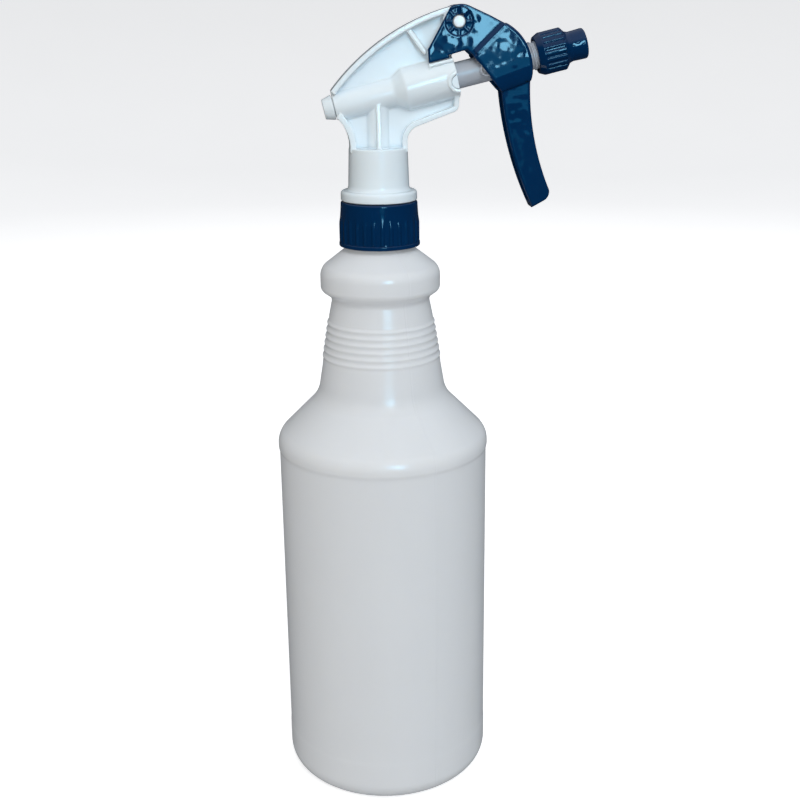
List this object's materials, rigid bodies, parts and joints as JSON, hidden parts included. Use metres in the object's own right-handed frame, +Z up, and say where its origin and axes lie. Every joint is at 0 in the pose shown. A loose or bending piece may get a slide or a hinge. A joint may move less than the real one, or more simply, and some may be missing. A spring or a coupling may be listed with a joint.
{
  "type": "trigger spray bottle",
  "caption": "Tall translucent plastic bottle with a ribbed neck and a hand-pumped trigger sprayer with an adjustable nozzle.",
  "frame": {"origin": "centre of the bottle's base, on the surface that it stands on", "axes": "+Z up along the bottle's axis, +X towards the nozzle, +Y across the trigger"},
  "size_m": [0.1292, 0.0896, 0.331],
  "materials": {
    "natural_bottle": "satin, milky and translucent",
    "navy_plastic": "gloss",
    "white_plastic": "gloss",
    "natural_plastic": "satin, milky",
    "clear_tube": "clear, smooth",
    "seal_rubber": "matte",
    "gasket_foam": "matte closed-cell foam",
    "steel": "bright"
  },
  "bodies": {
    "bottle": {"bottle": "natural_bottle"},
    "head": {"sprayer_body": "white_plastic", "neck_insert": "natural_plastic", "bottle_gasket": "gasket_foam", "dip_tube": "clear_tube", "dip_tube_strainer": "natural_plastic", "rear_plug": "white_plastic", "front_bushing": "white_plastic", "return_spring": "steel"},
    "closure": {"closure": "navy_plastic"},
    "inlet_ball": {"inlet_ball": "steel"},
    "trigger": {"trigger": "navy_plastic"},
    "piston": {"piston_tube": "natural_plastic", "piston_head": "natural_plastic", "piston_seal": "seal_rubber", "swirl_insert": "natural_plastic", "outlet_spring": "steel"},
    "outlet_ball": {"outlet_ball": "steel"},
    "nozzle_seal": {"nozzle_seal": "seal_rubber"},
    "nozzle_cap": {"nozzle_cap": "navy_plastic"}
  },
  "joints": [
    {"name": "head_lift", "type": "slide", "parent": "bottle", "child": "head", "axis": [0, 0, 1], "range_m": [0, 0.0053]},
    {"name": "closure_turn", "type": "hinge", "parent": "head", "child": "closure", "pos_m": [0, 0, 0.246], "axis": [0, 0, 1], "range_deg": [0, 455]},
    {"name": "inlet_ball_lift", "type": "slide", "parent": "head", "child": "inlet_ball", "axis": [0, 0, 1], "range_m": [0, 0.0012]},
    {"name": "trigger_pull", "type": "hinge", "parent": "head", "child": "trigger", "pos_m": [0.0318, 0, 0.3245], "axis": [0, 1, 0], "range_deg": [0, 24], "stiffness_Nm_per_rad": 0.45, "springref_deg": -11.46},
    {"name": "piston_slide", "type": "slide", "parent": "head", "child": "piston", "axis": [-0.9736, 0, -0.2284], "range_m": [0, 0.0088], "deforming": ["return_spring"]},
    {"name": "outlet_ball_lift", "type": "slide", "parent": "piston", "child": "outlet_ball", "axis": [0.9736, 0, 0.2284], "range_m": [0, 0.0008], "stiffness_N_per_m": 100, "springref_m": -0.0005, "deforming": ["outlet_spring"]},
    {"name": "nozzle_advance", "type": "slide", "parent": "piston", "child": "nozzle_seal", "axis": [0.9736, 0, 0.2284], "range_m": [0, 0.0021]},
    {"name": "nozzle_turn", "type": "hinge", "parent": "nozzle_seal", "child": "nozzle_cap", "pos_m": [0.06815, 0, 0.31248], "axis": [0.9736, 0, 0.2284], "range_deg": [0, 363]}
  ],
  "couplings": [
    {"joint": "closure_turn", "follows": "head_lift", "rad_per_m": 1484.3},
    {"joint": "piston_slide", "follows": "trigger_pull", "m_per_rad": 0.02053},
    {"joint": "nozzle_turn", "follows": "nozzle_advance", "rad_per_m": 2992}
  ]
}
